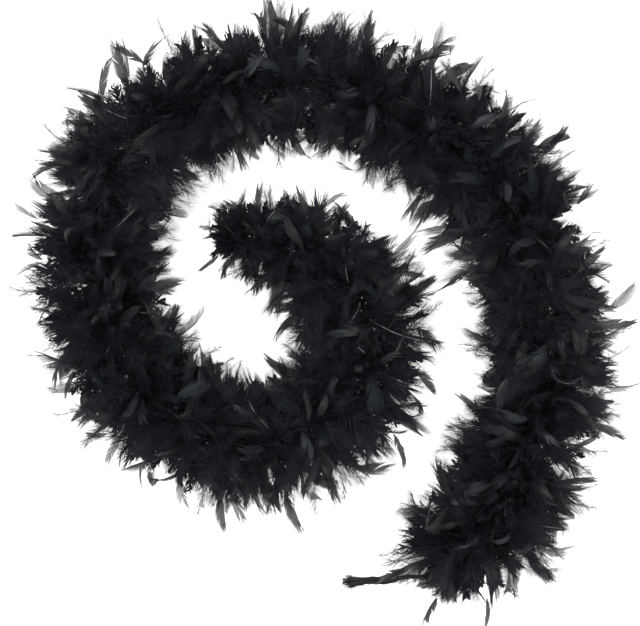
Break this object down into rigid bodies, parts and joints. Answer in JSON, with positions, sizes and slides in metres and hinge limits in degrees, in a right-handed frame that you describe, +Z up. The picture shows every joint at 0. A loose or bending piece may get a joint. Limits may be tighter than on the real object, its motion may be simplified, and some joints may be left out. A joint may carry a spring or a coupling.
{
  "type": "feather boa",
  "caption": "Fluffy black feather boa: downy feathers with stiff tips, strung along a twisted cord and laid in an open spiral, with the cord's loose strands at one end.",
  "frame": {"origin": "on the floor under the middle of the laid boa's box", "axes": "+Z up from the floor; +X and +Y to the right and to the top of the spiral seen from above, with the loose tail at the bottom pointing to -X"},
  "size_m": [0.6759, 0.6853, 0.118],
  "materials": {
    "feather": "dyed black feather: fluffy matt down, softly glossy tips",
    "cord": "dyed black twisted cotton strands"
  },
  "bodies": {
    "segment_01": {"core_01": "cord", "feathers_01": "feather", "inner_end_knot": "cord"},
    "segment_02": {"core_02": "cord", "feathers_02": "feather"},
    "segment_03": {"core_03": "cord", "feathers_03": "feather"},
    "segment_04": {"core_04": "cord", "feathers_04": "feather"},
    "segment_05": {"core_05": "cord", "feathers_05": "feather"},
    "segment_06": {"core_06": "cord", "feathers_06": "feather"},
    "segment_07": {"core_07": "cord", "feathers_07": "feather"},
    "segment_08": {"core_08": "cord", "feathers_08": "feather"},
    "segment_09": {"core_09": "cord", "feathers_09": "feather"},
    "segment_10": {"core_10": "cord", "feathers_10": "feather"},
    "segment_11": {"core_11": "cord", "feathers_11": "feather"},
    "segment_12": {"core_12": "cord", "feathers_12": "feather"},
    "segment_13": {"core_13": "cord", "feathers_13": "feather"},
    "segment_14": {"core_14": "cord", "feathers_14": "feather"},
    "segment_15": {"core_15": "cord", "feathers_15": "feather"},
    "segment_16": {"core_16": "cord", "feathers_16": "feather"},
    "segment_17": {"core_17": "cord", "feathers_17": "feather"},
    "segment_18": {"core_18": "cord", "feathers_18": "feather"},
    "segment_19": {"core_19": "cord", "feathers_19": "feather"},
    "segment_20": {"core_20": "cord", "feathers_20": "feather"},
    "segment_21": {"core_21": "cord", "feathers_21": "feather"},
    "segment_22": {"core_22": "cord", "feathers_22": "feather"},
    "segment_23": {"core_23": "cord", "feathers_23": "feather"},
    "segment_24": {"core_24": "cord", "feathers_24": "feather"},
    "segment_25": {"core_25": "cord", "feathers_25": "feather", "outer_end_knot": "cord", "tail_strand_a": "cord", "tail_strand_b": "cord"}
  },
  "joints": [
    {"name": "bend_01", "type": "hinge", "parent": "segment_02", "child": "segment_01", "pos_m": [-0.0275, 0.072, 0.045], "axis": [0, 0, -1], "range_deg": [-2, 20.9]},
    {"name": "bend_02", "type": "hinge", "parent": "segment_03", "child": "segment_02", "pos_m": [0.02, 0.041, 0.045], "axis": [0, 0, -1], "range_deg": [-2, 27.2]},
    {"name": "bend_03", "type": "hinge", "parent": "segment_04", "child": "segment_03", "pos_m": [0.0495, -0.009, 0.045], "axis": [0, 0, -1], "range_deg": [-2, 31.5]},
    {"name": "bend_04", "type": "hinge", "parent": "segment_05", "child": "segment_04", "pos_m": [0.0485, -0.064, 0.045], "axis": [0, 0, -1], "range_deg": [-2, 34.1]},
    {"name": "bend_05", "type": "hinge", "parent": "segment_06", "child": "segment_05", "pos_m": [0.0165, -0.109, 0.045], "axis": [0, 0, -1], "range_deg": [-2, 27]},
    {"name": "bend_06", "type": "hinge", "parent": "segment_07", "child": "segment_06", "pos_m": [-0.0345, -0.1355, 0.045], "axis": [0, 0, -1], "range_deg": [-2, 19.8]},
    {"name": "bend_07", "type": "hinge", "parent": "segment_08", "child": "segment_07", "pos_m": [-0.0935, -0.1435, 0.045], "axis": [0, 0, -1], "range_deg": [-2, 20.3]},
    {"name": "bend_08", "type": "hinge", "parent": "segment_09", "child": "segment_08", "pos_m": [-0.151, -0.131, 0.045], "axis": [0, 0, -1], "range_deg": [-2, 25.9]},
    {"name": "bend_09", "type": "hinge", "parent": "segment_10", "child": "segment_09", "pos_m": [-0.197, -0.094, 0.045], "axis": [0, 0, -1], "range_deg": [-2, 20.3]},
    {"name": "bend_10", "type": "hinge", "parent": "segment_11", "child": "segment_10", "pos_m": [-0.23, -0.0395, 0.045], "axis": [0, 0, -1], "range_deg": [-2, 12.6]},
    {"name": "bend_11", "type": "hinge", "parent": "segment_12", "child": "segment_11", "pos_m": [-0.251, 0.023, 0.045], "axis": [0, 0, -1], "range_deg": [-2, 15.7]},
    {"name": "bend_12", "type": "hinge", "parent": "segment_13", "child": "segment_12", "pos_m": [-0.2545, 0.0895, 0.045], "axis": [0, 0, -1], "range_deg": [-2, 17.8]},
    {"name": "bend_13", "type": "hinge", "parent": "segment_14", "child": "segment_13", "pos_m": [-0.2375, 0.154, 0.045], "axis": [0, 0, -1], "range_deg": [-2, 21.5]},
    {"name": "bend_14", "type": "hinge", "parent": "segment_15", "child": "segment_14", "pos_m": [-0.1975, 0.208, 0.045], "axis": [0, 0, -1], "range_deg": [-2, 24.8]},
    {"name": "bend_15", "type": "hinge", "parent": "segment_16", "child": "segment_15", "pos_m": [-0.1365, 0.2415, 0.045], "axis": [0, 0, -1], "range_deg": [-2, 17.8]},
    {"name": "bend_16", "type": "hinge", "parent": "segment_16", "child": "segment_17", "pos_m": [-0.064, 0.2555, 0.045], "axis": [0, 0, 1], "range_deg": [-2, 14.2]},
    {"name": "bend_17", "type": "hinge", "parent": "segment_17", "child": "segment_18", "pos_m": [0.011, 0.2515, 0.045], "axis": [0, 0, 1], "range_deg": [-2, 14.6]},
    {"name": "bend_18", "type": "hinge", "parent": "segment_18", "child": "segment_19", "pos_m": [0.084, 0.228, 0.045], "axis": [0, 0, 1], "range_deg": [-2, 13.5]},
    {"name": "bend_19", "type": "hinge", "parent": "segment_19", "child": "segment_20", "pos_m": [0.1515, 0.187, 0.045], "axis": [0, 0, 1], "range_deg": [-2, 17.4]},
    {"name": "bend_20", "type": "hinge", "parent": "segment_20", "child": "segment_21", "pos_m": [0.204, 0.1275, 0.045], "axis": [0, 0, 1], "range_deg": [-2, 16.9]},
    {"name": "bend_21", "type": "hinge", "parent": "segment_21", "child": "segment_22", "pos_m": [0.238, 0.0525, 0.045], "axis": [0, 0, 1], "range_deg": [-2, 13.1]},
    {"name": "bend_22", "type": "hinge", "parent": "segment_22", "child": "segment_23", "pos_m": [0.2545, -0.027, 0.045], "axis": [0, 0, 1], "range_deg": [-2, 17.1]},
    {"name": "bend_23", "type": "hinge", "parent": "segment_23", "child": "segment_24", "pos_m": [0.2465, -0.105, 0.045], "axis": [0, 0, 1], "range_deg": [-2, 15.3]},
    {"name": "bend_24", "type": "hinge", "parent": "segment_24", "child": "segment_25", "pos_m": [0.2185, -0.1785, 0.045], "axis": [0, 0, 1], "range_deg": [-2, 19.5]}
  ]
}
